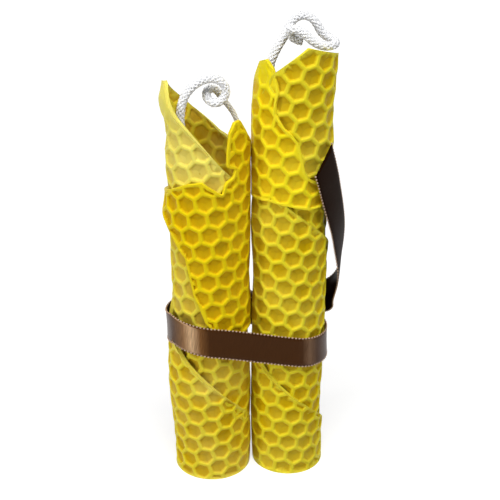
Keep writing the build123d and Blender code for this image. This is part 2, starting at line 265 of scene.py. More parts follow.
# %% Routes of the wicks
left_wick_route = (
    (0.0, 0.0, 0.0), (0.0, 0.0, 3.5), (-2.4, -1.3, 9.0), (-5.5, -3.0, 15.0), (-7.0, -3.9, 21.0),
    (-7.0, -4.3, 26.0), (-5.9, -4.3, 30.0), (-3.6, -4.0, 32.7), (-0.9, -3.6, 34.1), (1.8, -3.3, 34.4),
    (4.2, -3.1, 33.1), (5.2, -3.0, 30.7), (4.2, -3.1, 28.3), (1.8, -3.1, 27.3), (-0.1, -2.2, 28.7),
    (0.2, -0.4, 30.6), (2.4, 0.9, 30.4), (4.2, 1.3, 27.4), (5.9, 1.6, 25.2), (7.3, 1.9, 23.0),
    (8.4, 2.0, 20.2), (8.3, 1.9, 16.6), (7.5, 1.8, 13.2),
)
right_wick_route = (
    (0.0, 0.0, 0.0), (0.0, 0.0, 3.5), (-2.2, -0.3, 9.0), (-5.0, -0.9, 15.0), (-6.7, -1.0, 20.8),
    (-4.6, -0.4, 25.6), (-2.1, 0.5, 29.2), (-0.8, 1.0, 32.2), (1.4, 0.9, 34.0), (4.1, 0.5, 33.8),
    (5.9, 0.2, 31.8), (6.9, 0.0, 29.6), (8.7, -0.4, 28.3), (10.3, -1.7, 27.8), (10.2, -3.9, 27.5),
    (8.4, -5.0, 27.3), (5.9, -5.0, 27.6), (3.6, -4.7, 29.0), (1.6, -4.4, 31.0), (-0.6, -3.9, 31.8),
    (-1.6, -2.0, 30.6), (-0.4, -1.6, 28.4), (1.9, -1.9, 27.9),
)

# %% Lines


def spline_points(name, points, resolution=10):
    """Points of the smooth spline whose control points are these."""
    curve = bpy.data.curves.new(name, "CURVE")
    curve.dimensions = "3D"
    curve.resolution_u = resolution
    spline = curve.splines.new("NURBS")
    spline.points.add(len(points) - 1)
    for point, place in zip(spline.points, points):
        point.co = (*place, 1)
    spline.order_u = 3
    spline.use_endpoint_u = True
    holder = bpy.data.objects.new(name, curve)
    scene.collection.objects.link(holder)
    bpy.context.view_layer.update()
    mesh = bpy.data.meshes.new_from_object(holder)
    line = np.array([vertex.co[:] for vertex in mesh.vertices])
    bpy.data.objects.remove(holder)
    bpy.data.curves.remove(curve)
    bpy.data.meshes.remove(mesh)
    return line


def unit(directions):
    """Directions made one long."""
    return directions / np.linalg.norm(directions, axis=1)[:, None]


def run_so_far(line):
    """How far along a line each of its points is."""
    return np.concatenate([[0], np.cumsum(np.linalg.norm(np.diff(line, axis=0), axis=1))])


def evenly(line, step):
    """Points a steady step apart along a line."""
    along = run_so_far(line)
    places = np.linspace(0, along[-1], max(2, round(along[-1] / step) + 1))
    return np.stack([np.interp(places, along, line[:, i]) for i in range(line.shape[1])], axis=1)


def line_length(line):
    """Length of a line."""
    return float(np.linalg.norm(np.diff(line, axis=0), axis=1).sum())


def carried_frames(line):
    """Tangent and two directions across, carried along a line without twisting."""
    tangent = unit(np.gradient(line, axis=0))
    side = np.zeros_like(tangent)
    side[0] = np.cross(tangent[0], (0, 1, 0.1))
    side[0] /= np.linalg.norm(side[0])
    for i in range(1, len(line)):
        side[i] = side[i - 1] - tangent[i] * np.dot(side[i - 1], tangent[i])
        side[i] /= np.linalg.norm(side[i])
    return tangent, side, np.cross(tangent, side)


# %% Meshes along lines


def build_mesh(name, places, faces, material, smooth=True):
    """Object of one mesh at the origin."""
    mesh = bpy.data.meshes.new(name)
    mesh.from_pydata([tuple(place) for place in places], [], [tuple(face) for face in faces])
    mesh.update()
    mesh.materials.append(material)
    mesh.polygons.foreach_set("use_smooth", [smooth] * len(mesh.polygons))
    piece = bpy.data.objects.new(name, mesh)
    scene.collection.objects.link(piece)
    return piece


def tubes(lines, radii, sides=6):
    """Closed round tubes along several lines, as places and faces."""
    places, faces = [], []
    for line, radius in zip(lines, radii):
        tangent, side, other = carried_frames(line)
        first = len(places)
        for i, centre in enumerate(line):
            for k in range(sides):
                turn = 2 * pi * k / sides
                places.append(centre + radius[i] * (cos(turn) * side[i] + sin(turn) * other[i]))
        rings = len(line)
        for i in range(rings - 1):
            for k in range(sides):
                a, b = first + i * sides + k, first + i * sides + (k + 1) % sides
                faces.append((a, b, b + sides, a + sides))
        faces.append([first + k for k in reversed(range(sides))])
        faces.append([first + (rings - 1) * sides + k for k in range(sides)])
    return places, faces


# %% [markdown]
# ## Braid
# A wick is braided from cotton yarns that wind round it both ways. Each yarn passes over and under the
# ones that it meets, so its distance from the middle swings in and out. Six yarns wind each way, and a
# round tube follows each of them. The left wick thins out towards its end, where it is unravelled.

# %% Braided wicks
braid_pairs = 6
braid_lay = 8.0 * mm
strand_radius = 0.32 * mm
braid_reach = 0.78 * mm
braid_step = 0.3 * mm


def braid(name, route, thickness):
    """Braid of strands round a route: thickness is a share of the full diameter, from start to end."""
    line = evenly(route, braid_step)
    tangent, side, other = carried_frames(line)
    along = np.arange(len(line)) * line_length(line) / (len(line) - 1)
    full = np.interp(np.linspace(0, 1, len(line)), *zip(*thickness))
    lines, radii = [], []
    for way in (1, -1):
        for strand in range(braid_pairs):
            turn = way * 2 * pi * along / braid_lay + 2 * pi * strand / braid_pairs
            over = way * np.cos(braid_pairs * 2 * pi * along / braid_lay)
            reach = (braid_reach + 0.16 * mm * over) * full
            away = np.cos(turn)[:, None] * side + np.sin(turn)[:, None] * other
            lines.append(line + reach[:, None] * away)
            radii.append(strand_radius * full)
    return build_mesh(name, *tubes(lines, radii), cotton_yarn)


def settle(piece, body, node):
    """Piece rides on a body and stands in for a node, whose own part is hidden."""
    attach(piece, body)
    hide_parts(node)


def wick(side, axis, route, thickness):
    """Free stretch of a wick, and the straight stretch inside the roll."""
    low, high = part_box(side + "_wick_core")
    points = [axis + np.array(place) * mm + (0, 0, high[2]) for place in route]
    line = evenly(spline_points(side + " wick route", points), braid_step)
    loop = braid(side + "_wick_braid", line, thickness)
    settle(loop, side + "_candle", side + "_wick_loop")
    inside = np.linspace((*axis[:2], low[2]), (*axis[:2], high[2]), 60)
    core = braid(side + "_wick_inside", inside, ((0, 1), (1, 1)))
    settle(core, side + "_candle", side + "_wick_core")


wick("left", left_axis, left_wick_route, ((0, 1), (0.74, 1), (0.8, 0.7), (1, 0.5)))
wick("right", right_axis, right_wick_route, ((0, 1), (1, 1)))

# %% [markdown]
# ## Satin
# Satin ribbon is dark brown, and its long floating threads run along it. They throw a broad soft
# highlight with a copper tint, stretched across the ribbon. White surroundings wash that out, so a painted
# highlight is added to the colour: a copper sheen on the curves that face the left window, and a weaker
# one on those that face the right window, broken up by the threads. The weave follows the ribbon's own
# map: one direction counts along the ribbon and the other across it.

# %% Satin material


def satin(name, shade, gloss, painted_sheens):
    """Satin weave: the threads' colour, gloss, and a painted highlight given as sideways directions and
    colours.
    """
    material, tree, shader = new_material(name)
    weave = add_node(tree, "ShaderNodeUVMap", uv_map="weave").outputs["UV"]
    spread = add_node(tree, "ShaderNodeMapping", {"Vector": weave, "Scale": (9000, 260, 1)}).outputs["Vector"]
    noise = add_node(tree, "ShaderNodeTexNoise", {"Vector": spread, "Scale": 1.0, "Detail": 2.0})
    threads = noise.outputs["Fac"]
    dark, light = ([share * c for c in shade] for share in (0.6, 1.35))
    colour = ramp(tree, threads, ((0.25, dark), (0.8, light)))
    if painted_sheens:
        # Painted highlight: colour added by which way the surface faces sideways, broken up by the threads.
        normal = add_node(tree, "ShaderNodeTexCoord").outputs["Normal"]
        sideways = add_node(tree, "ShaderNodeSeparateXYZ", {"Vector": normal}).outputs["X"]
        sheen = ramp(tree, map_range(tree, sideways, -1, 1, 0, 1), painted_sheens)
        lit_threads = ramp(tree, threads, ((0.3, (0.35,) * 3), (0.7, (1.0,) * 3)))
        sheen = blend_colours(tree, 1.0, sheen, lit_threads, "MULTIPLY")
        colour = blend_colours(tree, 1.0, colour, sheen, "ADD")
    tangent = add_node(tree, "ShaderNodeTangent", direction_type="UV_MAP", uv_map="weave")
    looks = {
        "Base Color": colour,
        "Roughness": 0.35,
        "Specular IOR Level": gloss,
        "Specular Tint": (1, 0.4, 0.12, 1),
        "Anisotropic": 0.95,
        "Anisotropic Rotation": 0.25,
        "Tangent": tangent.outputs["Tangent"],
        "Normal": bump(tree, threads, 0.35, 0.00008),
    }
    feed(tree, shader, looks)
    return material


# Painted highlight of the ribbon, from facing left at 0 to facing right at 1: copper where it faces the left
# window, weaker where it faces the right one.
painted_sheens = (
    (0.06, (0.03, 0.012, 0.003)),
    (0.17, (0.3, 0.16, 0.07)),
    (0.26, (0.9, 0.6, 0.34)),
    (0.36, (0.2, 0.09, 0.03)),
    (0.46, (0.01, 0.003, 0.001)),
    (0.62, (0.01, 0.003, 0.001)),
    (0.72, (0.2, 0.125, 0.075)),
    (0.82, (0.01, 0.003, 0.001)),
)
brown_satin = satin("brown satin", (0.014, 0.0045, 0.001), 0.4, painted_sheens)
# Painted shade: a darker copy of the satin, almost without gloss and without the painted highlight, for the
# tails that lie in shade.
shaded_satin = satin("brown satin in shade", (0.012, 0.004, 0.001), 0.03, None)


def thread(name, shade):
    """Thread of the ribbon's woven edge."""
    material, tree, shader = new_material(name)
    twist = object_noise(tree, 5000, detail=2)
    colour = ramp(tree, twist, ((0.3, [c * 0.7 for c in shade]), (0.75, shade)))
    feed(tree, shader, {"Base Color": colour, "Roughness": 0.5})
    return material


edge_thread = thread("edge thread", (0.6, 0.4, 0.27))

# %% [markdown]
# ## Ribbon tails
# Where the ribbon is tied, its two ends leave the knot. The long one bends round the right candle, turns
# over on itself and stands up beside it, and the short one hangs behind the left candle. A tail is a flat
# strip whose middle follows a smooth spline, and whose direction across follows a spline of its own, point
# for point.

# %% Tail routes
ribbon_width = 9.0 * mm
ribbon_thickness = 0.35 * mm
ribbon_height = 44.3
knot_low, knot_high = (np.array(corner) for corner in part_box("ribbon_knot"))
long_tail_route = (
    ((0.5, 12.6, 1.02), (0, 0, 1)), ((6.6, 11.2, 1.06), (0, 0.05, 1)),
    ((11.1, 6.6, 1.115), (0, 0.15, 1)), ((13.3, 4.6, 1.205), (0.12, 0.85, 0.5)),
    ((14.2, 0.6, 1.355), (0.1, 0.88, -0.47)), ((13.7, -0.8, 1.573), (0.43, 0.9, -0.05)),
    ((12.9, -2.8, 1.709), (0.52, 0.85, 0.06)), ((11.5, -4.6, 1.844), (0.61, 0.79, 0)),
    ((10.0, -6.1, 1.977), (0.66, 0.74, 0.13)), ((8.8, -7.6, 2.09), (0.67, 0.7, 0.24)),
    ((7.2, -9.0, 2.214), (0.72, 0.69, 0.11)),
)
short_tail_route = (
    ((1.5, 15.6, 1.084), (-0.1, 0.2, 0.97)), ((-1.5, 17.8, 1.061), (-0.45, 0.25, 0.85)),
    ((-4.0, 19.0, 0.937), (-0.8, 0.3, 0.5)), ((-5.0, 19.2, 0.745), (-0.93, 0.3, 0.15)),
    ((-5.3, 18.8, 0.553), (-0.95, 0.28, 0.05)), ((-5.5, 18.4, 0.361), (-0.96, 0.25, 0)),
    ((-5.6, 18.8, 0.169), (-0.96, 0.25, 0)), ((-5.6, 20.4, 0.058), (-0.96, 0.25, 0)),
)

# %% Ribbon strips


def ribbon_frames(line, across, closed=False):
    """Tangent, direction across and direction out of a ribbon, and how far along it each point is."""
    tangent = np.gradient(line, axis=0)
    if closed:
        tangent[0] = tangent[-1] = line[1] - line[-2]
    tangent = unit(tangent)
    across = unit(across - tangent * (across * tangent).sum(axis=1)[:, None])
    return tangent, across, np.cross(tangent, across), run_so_far(line)


def quads(rows, columns, first=0):
    """Faces of a grid of points, row by row."""
    corners = [first + i * columns + k for i in range(rows - 1) for k in range(columns - 1)]
    return [(a, a + columns, a + columns + 1, a + 1) for a in corners]


def map_weave(piece, weave):
    """Gives a ribbon its weave map, from one place on the map for each point."""
    layer = piece.data.uv_layers.new(name="weave")
    for loop in piece.data.loops:
        layer.data[loop.index].uv = weave[loop.vertex_index]


def turn_outwards(piece, merge=None):
    """Turns all faces outwards, after merging points that are closer than a distance."""
    body = bmesh.new()
    body.from_mesh(piece.data)
    if merge:
        bmesh.ops.remove_doubles(body, verts=body.verts, dist=merge)
    bmesh.ops.recalc_face_normals(body, faces=body.faces)
    body.to_mesh(piece.data)
    body.free()


def strip(name, middle_line, across_line, material, slant=0.0):
    """Ribbon along a line, with a rounded section, a weave map and an end that is cut on the slant."""
    tangent, across, facing, along = ribbon_frames(middle_line, across_line)
    shares = np.linspace(-1, 1, 13)
    near_end = np.clip(1 - (along[-1] - along) / (4 * mm), 0, 1)
    places, faces, weave = [], [], []
    for face_side in (1, -1):
        for i in range(len(middle_line)):
            for share in shares:
                half = ribbon_thickness / 2 * sqrt(max(0.0, 1 - share**8))
                cup = 0.12 * mm * share * share
                pull = slant * share * near_end[i]
                places.append(
                    middle_line[i]
                    + across[i] * share * ribbon_width / 2
                    + facing[i] * (face_side * half + cup)
                    + tangent[i] * pull
                )
                weave.append((along[i] + pull, share * ribbon_width / 2))
    columns, rows = len(shares), len(middle_line)
    faces += quads(rows, columns)
    faces += [quad[::-1] for quad in quads(rows, columns, rows * columns)]
    for i in (0, rows - 1):
        for k in range(columns - 1):
            a = i * columns + k
            b = a + rows * columns
            quad = (a, a + 1, b + 1, b)
            faces.append(quad if i == 0 else quad[::-1])
    piece = build_mesh(name, places, faces, material)
    map_weave(piece, weave)
    turn_outwards(piece, merge=0.01 * mm)
    edges = []
    for way in (1, -1):
        pull = tangent * (slant * way * near_end)[:, None]
        edges.append(middle_line + across * way * ribbon_width * 0.49 + facing * 0.15 * mm + pull)
    return piece, edges


# %% Tails


def tail(name, node, axis, route, knot_side, slant):
    """Tail of the ribbon, from the knot to its cut end."""
    start = (knot_low + knot_high) / 2
    start[0] = knot_high[0] if knot_side > 0 else knot_low[0]
    points, across = [start], [np.array((0.0, 0.0, 1.0))]
    for (x, y, height), direction in route:
        points.append(axis + np.array((x, y, height * ribbon_height)) * mm)
        across.append(np.array(direction, dtype=float))
    middle_line = spline_points(name + " route", points)
    across_line = spline_points(name + " directions", across)
    piece, edges = strip(name, middle_line, across_line, shaded_satin, slant)
    settle(piece, "ribbon", node)
    return edges


stitched_edges = []
stitched_edges += tail("long_tail", "ribbon_tail_long", right_axis, long_tail_route, 1, 2.2 * mm)
stitched_edges += tail("short_tail", "ribbon_tail_short", left_axis, short_tail_route, -1, 1.5 * mm)

# %% [markdown]
# ## Wax
# Beeswax lets light in a little way. The sheets carry three values of their own: how deep a point lies in
# its cell, whether it is on a cut edge, and whether it is on the outer face. The colour follows these: the
# hollows are painted darker and more golden brown than the ridges, as painted shade in the cells, the cut
# edges are paler, and the left roll's outer face turns paler towards its top, partly bloom and partly
# painted light from the left window. A soft cloud of pale bloom and a fine grain go over it all.

# %% Wax material


def attribute(tree, name):
    """Value that a sheet carries at each point."""
    return add_node(tree, "ShaderNodeAttribute", attribute_name=name).outputs["Fac"]


def wax(name, ridge, hollow_with_shade, bloom, bloom_share, paler_above=1.0):
    """Honeycomb wax: ridge, hollow and bloom are colours, and the darker hollow is painted shade. The outer
    face is paler from a height on, partly bloom and partly painted light.
    """
    material, tree, shader = new_material(name)
    deepest_shade = [0.9 * share for share in hollow_with_shade]
    # Painted shade: the colour darkens from the ridges into the hollows, and most at the deepest points.
    colour = ramp(tree, attribute(tree, "cell_depth"), ((0.12, ridge), (0.62, hollow_with_shade), (1.0, deepest_shade)))
    cloud = ramp(tree, object_noise(tree, 60, detail=4), ((0.38, (0, 0, 0)), (0.72, (bloom_share,) * 3)))
    place = add_node(tree, "ShaderNodeTexCoord").outputs["Object"]
    height = add_node(tree, "ShaderNodeSeparateXYZ", {"Vector": place}).outputs["Z"]
    # Painted light and bloom: the outer face turns paler above a height, for the window light on the left
    # roll's top.
    high = map_range(tree, height, paler_above, paler_above + 0.012, 0, 0.45)
    bloom_and_lit_top = math_node(tree, "MULTIPLY", high, attribute(tree, "outer_face"))
    pale_cut = math_node(tree, "MULTIPLY", attribute(tree, "cut_edge"), 0.25)
    for share in (cloud, bloom_and_lit_top, pale_cut):
        colour = blend_colours(tree, share, colour, bloom)
    grain = object_noise(tree, 1400, detail=3)
    looks = {
        "Base Color": colour,
        "Roughness": ramp(tree, grain, ((0.3, (0.34,) * 3), (0.7, (0.52,) * 3))),
        "Specular IOR Level": 0.1,
        "Specular Tint": (1, 0.8, 0.12, 1),
        "Subsurface Weight": 0.12,
        "Subsurface Radius": (1.0, 0.6, 0.12),
        "Subsurface Scale": 0.0006,
        "Normal": bump(tree, grain, 0.12, 0.0003),
    }
    feed(tree, shader, looks)
    return material


# Roll and wrap are different sheets with their own tones. The left and right copies of each also differ as
# painted light and shade: the left roll's bloom is paler for the window light on it, and the left wrap darker
# and more orange for the shade it lies in.
left_roll_wax = wax(
    "left rolled wax", (0.83, 0.69, 0.025), (0.66, 0.42, 0.004), (0.9, 0.82, 0.22), 0.35, paler_above=0.086
)
right_roll_wax = wax("right rolled wax", (0.81, 0.69, 0.02), (0.64, 0.42, 0.002), (0.85, 0.77, 0.1), 0.35)
left_wrap_wax = wax("left wrapped wax", (0.82, 0.63, 0.004), (0.66, 0.39, 0.001), (0.86, 0.72, 0.03), 0.25)
right_wrap_wax = wax("right wrapped wax", (0.88, 0.73, 0.008), (0.74, 0.48, 0.002), (0.9, 0.79, 0.06), 0.3)

# %% [markdown]
# ## Honeycomb sheet
# The sheet is pressed between rollers into hexagonal cells, 5.3 mm from side to side. One cell has a ridge
# round it, steep walls and a bottom of facets, which catch the light from above one by one. A node tree
# lays it on a lattice, turned as the rows of each sheet are turned, and gives every cell a slightly
# different depth. The flat mesh is then cut to the sheet's outline.

# %% One cell
cell_pitch = 5.3 * mm
cell_depth = 0.92 * mm
cell_rings = ((1.0, 0.0, 0.0), (0.86, 0.06, 0.0), (0.68, 0.68, 0.1))


def cell_mesh():
    """Hexagonal cell whose bottom is three flat facets, as in a bees' comb.

    Rings are a share of the width, a share of the depth, and how far every second corner lies below it.
    """
    places, faces = [], []
    for share, depth, drop in cell_rings:
        for k in range(12):
            turn = pi / 6 * k
            corner = cell_pitch / sqrt(3) if share == 1 else cell_pitch / sqrt(3) * 0.98
            radius = share * (corner if k % 2 else cell_pitch / 2)
            level = depth + drop * cos(3 * turn + 3 * pi / 2)
            places.append((radius * cos(turn), radius * sin(turn), -level * cell_depth))
    places.append((0, 0, -cell_depth))
    for ring in range(len(cell_rings) - 1):
        for k in range(12):
            a, b = ring * 12 + k, ring * 12 + (k + 1) % 12
            faces.append((a, b, b + 12, a + 12))
    last = (len(cell_rings) - 1) * 12
    faces += [(last + k, last + (k + 1) % 12, len(places) - 1) for k in range(12)]
    mesh = bpy.data.meshes.new("cell")
    mesh.from_pydata(places, [], faces)
    return mesh


cell_object = bpy.data.objects.new("cell", cell_mesh())
print("one cell has", len(cell_object.data.polygons), "faces")

# %% Lattice of cells


def new_tree(name, inputs):
    """Geometry tree with named inputs, the sockets that give them, and a maker of its nodes."""
    group = bpy.data.node_groups.new(name, "GeometryNodeTree")
    group.interface.new_socket("Geometry", in_out="OUTPUT", socket_type="NodeSocketGeometry")
    for label, kind, default in inputs:
        socket = group.interface.new_socket(label, in_out="INPUT", socket_type="NodeSocket" + kind)
        if default is not None:
            socket.default_value = default

    def node(kind, inputs={}, **settings):
        """Outputs of a new node of this tree."""
        return add_node(group, kind, inputs, **settings).outputs

    return group, node("NodeGroupInput"), node


def end_tree(group, geometry, material):
    """Geometry with its material, as the result of a tree."""
    finished = add_node(group, "GeometryNodeSetMaterial", {"Geometry": geometry, "Material": material})
    add_node(group, "NodeGroupOutput", {0: finished.outputs[0]})


def honeycomb_tree():
    """Node tree that lays cells on a hexagonal lattice inside a box."""
    inputs = (
        ("Cell", "Object", None),
        ("Pitch", "Float", cell_pitch),
        ("Count", "Int", 61),
        ("Turn", "Float", 0.0),
        ("Centre", "Vector", None),
        ("Low corner", "Vector", None),
        ("High corner", "Vector", None),
        ("Unevenness", "Float", 0.12),
        ("Seed", "Int", 1),
        ("Wax", "Material", None),
    )
    group, given, node = new_tree("honeycomb", inputs)
    pitch, count, uneven = given["Pitch"], given["Count"], given["Unevenness"]
    span = math_node(group, "SUBTRACT", count, 1.0)
    row_span = math_node(group, "MULTIPLY", span, sqrt(3) / 2)
    size = {
        "Size X": math_node(group, "MULTIPLY", span, pitch),
        "Size Y": math_node(group, "MULTIPLY", row_span, pitch),
        "Vertices X": count,
        "Vertices Y": count,
    }
    grid = node("GeometryNodeMeshGrid", size)["Mesh"]
    row = math_node(group, "MODULO", node("GeometryNodeInputIndex")[0], count)
    odd = math_node(group, "MODULO", row, 2.0)
    half_step = math_node(group, "MULTIPLY", odd, math_node(group, "MULTIPLY", pitch, 0.5))
    shift = node("ShaderNodeCombineXYZ", {"X": half_step})[0]
    staggered = node("GeometryNodeSetPosition", {"Geometry": grid, "Offset": shift})[0]
    turn = node("ShaderNodeCombineXYZ", {"Z": given["Turn"]})[0]
    turned = node("FunctionNodeEulerToRotation", {0: turn})[0]
    move = {"Geometry": staggered, "Translation": given["Centre"], "Rotation": turned}
    laid = node("GeometryNodeTransform", move)[0]
    position = node("GeometryNodeInputPosition")[0]
    outside = None
    for corner, operation in (("Low corner", "LESS_THAN"), ("High corner", "GREATER_THAN")):
        place = node("ShaderNodeSeparateXYZ", {0: position})
        limit = node("ShaderNodeSeparateXYZ", {0: given[corner]})
        for axis in ("X", "Y"):
            past = math_node(group, operation, place[axis], limit[axis])
            outside = past if outside is None else math_node(group, "MAXIMUM", outside, past)
    points = node("GeometryNodeDeleteGeometry", {"Geometry": laid, "Selection": outside}, domain="POINT")[0]
    shallow = math_node(group, "SUBTRACT", 1.0, uneven)
    deep = math_node(group, "ADD", 1.0, uneven)
    chance = node("FunctionNodeRandomValue", {2: shallow, 3: deep, "Seed": given["Seed"]})[1]
    cells = {
        "Points": points,
        "Instance": node("GeometryNodeObjectInfo", {"Object": given["Cell"]})["Geometry"],
        "Rotation": turned,
        "Scale": node("ShaderNodeCombineXYZ", {"X": 1, "Y": 1, "Z": chance})[0],
    }
    real = node("GeometryNodeRealizeInstances", {0: node("GeometryNodeInstanceOnPoints", cells)[0]})[0]
    merged = node("GeometryNodeMergeByDistance", {"Geometry": real, "Distance": 0.02 * mm})[0]
    end_tree(group, merged, given["Wax"])
    return group


honeycomb = honeycomb_tree()
print("honeycomb tree of", len(honeycomb.nodes), "nodes")

# %% Running a tree


def run_tree(group, values, source=None):
    """Mesh that a node tree makes from named inputs, as a plain mesh."""
    holder = bpy.data.objects.new(group.name, source or bpy.data.meshes.new(group.name))
    scene.collection.objects.link(holder)
    modifier = holder.modifiers.new(group.name, "NODES")
    modifier.node_group = group
    for item in group.interface.items_tree:
        if item.item_type == "SOCKET" and item.in_out == "INPUT" and item.name in values:
            modifier[item.identifier] = values[item.name]
    ready = holder.evaluated_get(bpy.context.evaluated_depsgraph_get())
    mesh = bpy.data.meshes.new_from_object(ready)
    bpy.data.objects.remove(holder)
    return mesh


def mesh_arrays(mesh):
    """Places and faces of a mesh."""
    places = np.empty(len(mesh.vertices) * 3)
    mesh.vertices.foreach_get("co", places)
    return places.reshape(-1, 3), [tuple(polygon.vertices) for polygon in mesh.polygons]


# %% [markdown]
# ## Rolling a sheet
# A roll is a spiral, and it is a little wider at the top than at the foot, so the flat sheet is a slice
# of a wide ring. The two formulas below go from the flat sheet to an angle and a height on the roll, and
# from there into space. Angles start at the front and grow towards the right. They keep counting past a
# full turn, so one number says where on the sheet a point is.

# %% Roll formulas
wobble = 0.05 * mm


def unroll(roll, flat):
    """Angle in degrees and height of points of the flat sheet."""
    ring = 1 / roll["spread"]
    x, y = flat[:, 0], flat[:, 1] + ring
    arc = np.arctan2(-x, y) * ring
    pitch, radius = roll["pitch"], roll["radius"]
    turns = (radius - np.sqrt(np.maximum(radius**2 - pitch * arc / pi, 0))) / pitch
    return roll["end_angle"] - 360 * turns, np.hypot(x, y) - ring


def flatten(roll, angle, height):
    """Place on the flat sheet of an angle and a height."""
    ring = 1 / roll["spread"]
    turns = (roll["end_angle"] - angle) / 360
    arc = 2 * pi * (roll["radius"] * turns - roll["pitch"] * turns**2 / 2)
    lean = arc / ring
    return np.array([-(ring + height) * sin(lean), (ring + height) * cos(lean) - ring]), lean


def roll_up(roll, angle, height, out):
    """Places in space of angles, heights and distances out of the sheet's outer face."""
    turns = (roll["end_angle"] - angle) / 360
    radius = (roll["radius"] - roll["pitch"] * turns) * (1 + roll["spread"] * height)
    for where, level, amount, wide, high in roll["bulges"]:
        reach = np.exp(-(((angle - where) / wide) ** 2) - ((height / mm - level) / high) ** 2)
        radius = radius + amount * mm * reach
    radius = radius + wobble * np.sin(angle / 23 + height / mm / 9) + out
    turn = np.radians(angle)
    x = roll["axis"][0] + radius * np.sin(turn)
    y = roll["axis"][1] - radius * np.cos(turn)
    return np.stack([x, y, height], axis=1)


# %% [markdown]
# ## Cutting a sheet
# A sheet is cut with a knife before it is rolled, so its cells are cut through along the edge. The flat
# honeycomb is cut along the outline, and once more a little inside it. The narrow border between the two
# cuts is pressed flat, which gives the cut edge a clean line.

# %% Cutting a sheet to its outline
border = 0.55 * mm


def inside(outline, points):
    """Which points lie inside a closed outline."""
    hit = np.zeros(len(points), bool)
    for (x0, y0), (x1, y1) in zip(outline, np.roll(outline, -1, axis=0)):
        crossing = (y0 > points[:, 1]) != (y1 > points[:, 1])
        if y0 != y1:
            hit ^= crossing & (points[:, 0] < (x1 - x0) * (points[:, 1] - y0) / (y1 - y0) + x0)
    return hit


def distance_to(outline, points):
    """Distance of points from a closed outline."""
    best = np.full(len(points), np.inf)
    for start, end in zip(outline, np.roll(outline, -1, axis=0)):
        run = end - start
        share = np.clip(((points - start) @ run) / (run @ run), 0, 1)
        best = np.minimum(best, np.linalg.norm(points - start - share[:, None] * run, axis=1))
    return best


def inset(outline, amount):
    """Outline moved inwards; the outline runs clockwise."""
    ahead = unit(np.roll(outline, -1, axis=0) - outline)
    inward = np.stack([ahead[:, 1], -ahead[:, 0]], axis=1)
    before = np.roll(inward, 1, axis=0)
    bisector = inward + before
    bisector /= np.maximum((bisector * inward).sum(axis=1), 0.4)[:, None]
    return outline + bisector * amount


def cut_along(sheet, start, end):
    """Cuts the faces near a straight run of the outline."""
    run = end - start
    length = np.linalg.norm(run)
    run = run / length
    across = np.array([-run[1], run[0]])
    points = np.array([vertex.co[:2] for vertex in sheet.verts]) - start
    along, off = points @ run, np.abs(points @ across)
    reach = 4 * mm
    near = (along > -reach) & (along < length + reach) & (off < reach)
    sheet.verts.ensure_lookup_table()
    faces = {face for i in np.nonzero(near)[0] for face in sheet.verts[i].link_faces}
    edges = {edge for face in faces for edge in face.edges}
    verts = {vertex for face in faces for vertex in face.verts}
    bmesh.ops.bisect_plane(
        sheet,
        geom=[*verts, *edges, *faces],
        dist=0.005 * mm,
        plane_co=(*start, 0),
        plane_no=(*across, 0),
    )


def cut_out(places, faces, outline):
    """Part of a flat mesh inside an outline, with a flat border along the cut."""
    keep = distance_to(outline, places[:, :2]) < cell_pitch
    keep |= inside(outline, places[:, :2])
    faces = [face for face in faces if any(keep[i] for i in face)]
    mesh = bpy.data.meshes.new("cut")
    mesh.from_pydata(places.tolist(), [], faces)
    sheet = bmesh.new()
    sheet.from_mesh(mesh)
    bpy.data.meshes.remove(mesh)
    loose = [vertex for vertex in sheet.verts if not vertex.link_faces]
    bmesh.ops.delete(sheet, geom=loose, context="VERTS")
    for line in (outline, inset(outline, border)):
        for start, end in zip(line, np.roll(line, -1, axis=0)):
            cut_along(sheet, start, end)
    sheet.faces.ensure_lookup_table()
    centres = np.array([face.calc_center_median()[:2] for face in sheet.faces])
    outer = ~inside(outline, centres)
    bmesh.ops.delete(sheet, geom=[face for face, out in zip(sheet.faces, outer) if out], context="FACES")
    sheet.verts.index_update()
    cut_places = np.array([vertex.co[:] for vertex in sheet.verts])
    cut_faces = [[vertex.index for vertex in face.verts] for face in sheet.faces]
    sheet.free()
    return cut_places, cut_faces


# %% [markdown]
# ## From cells to a sheet
# Both faces of a wax sheet are pressed, and its cut edge is rounded by warm hands. The front face, the back
# face where it shows, and the edge between them are made one by one, rolled up and joined in one mesh.
# Where the two candles touch, the ribbon has pressed the cells nearly flat.

# %% Making a sheet
contact_press, contact_wide = 0.97, 24
wear_run, wear_press, wear_fade = 8, 0.8, 0.9


def sheet_side(roll, outline, turn_at, turn, wax_finish, seed):
    """Honeycomb cut to an outline, as places of angle length, height and depth."""
    scale = radians(1) * roll["radius"]
    line = np.array([(angle * scale, height * mm) for angle, height in outline])
    corners = np.array([flatten(roll, angle, height * mm)[0] for angle, height in outline])
    centre, lean = flatten(roll, turn_at[0], turn_at[1] * mm)
    mesh = run_tree(
        honeycomb,
        {
            "Cell": cell_object,
            "Turn": radians(turn) + lean,
            "Centre": (*centre, 0.0),
            "Low corner": (*(corners.min(axis=0) - 2 * cell_pitch), 0.0),
            "High corner": (*(corners.max(axis=0) + 2 * cell_pitch), 0.0),
            "Count": 121,
            "Seed": seed,
            "Wax": wax_finish,
        },
    )
    places, faces = mesh_arrays(mesh)
    bpy.data.meshes.remove(mesh)
    angle, height = unroll(roll, places)
    places[:, 0], places[:, 1] = angle * scale, height
    places, faces = cut_out(places, faces, line)
    edge = distance_to(line, places[:, :2])
    places[edge < border * 1.05, 2] = 0
    return places, faces, edge


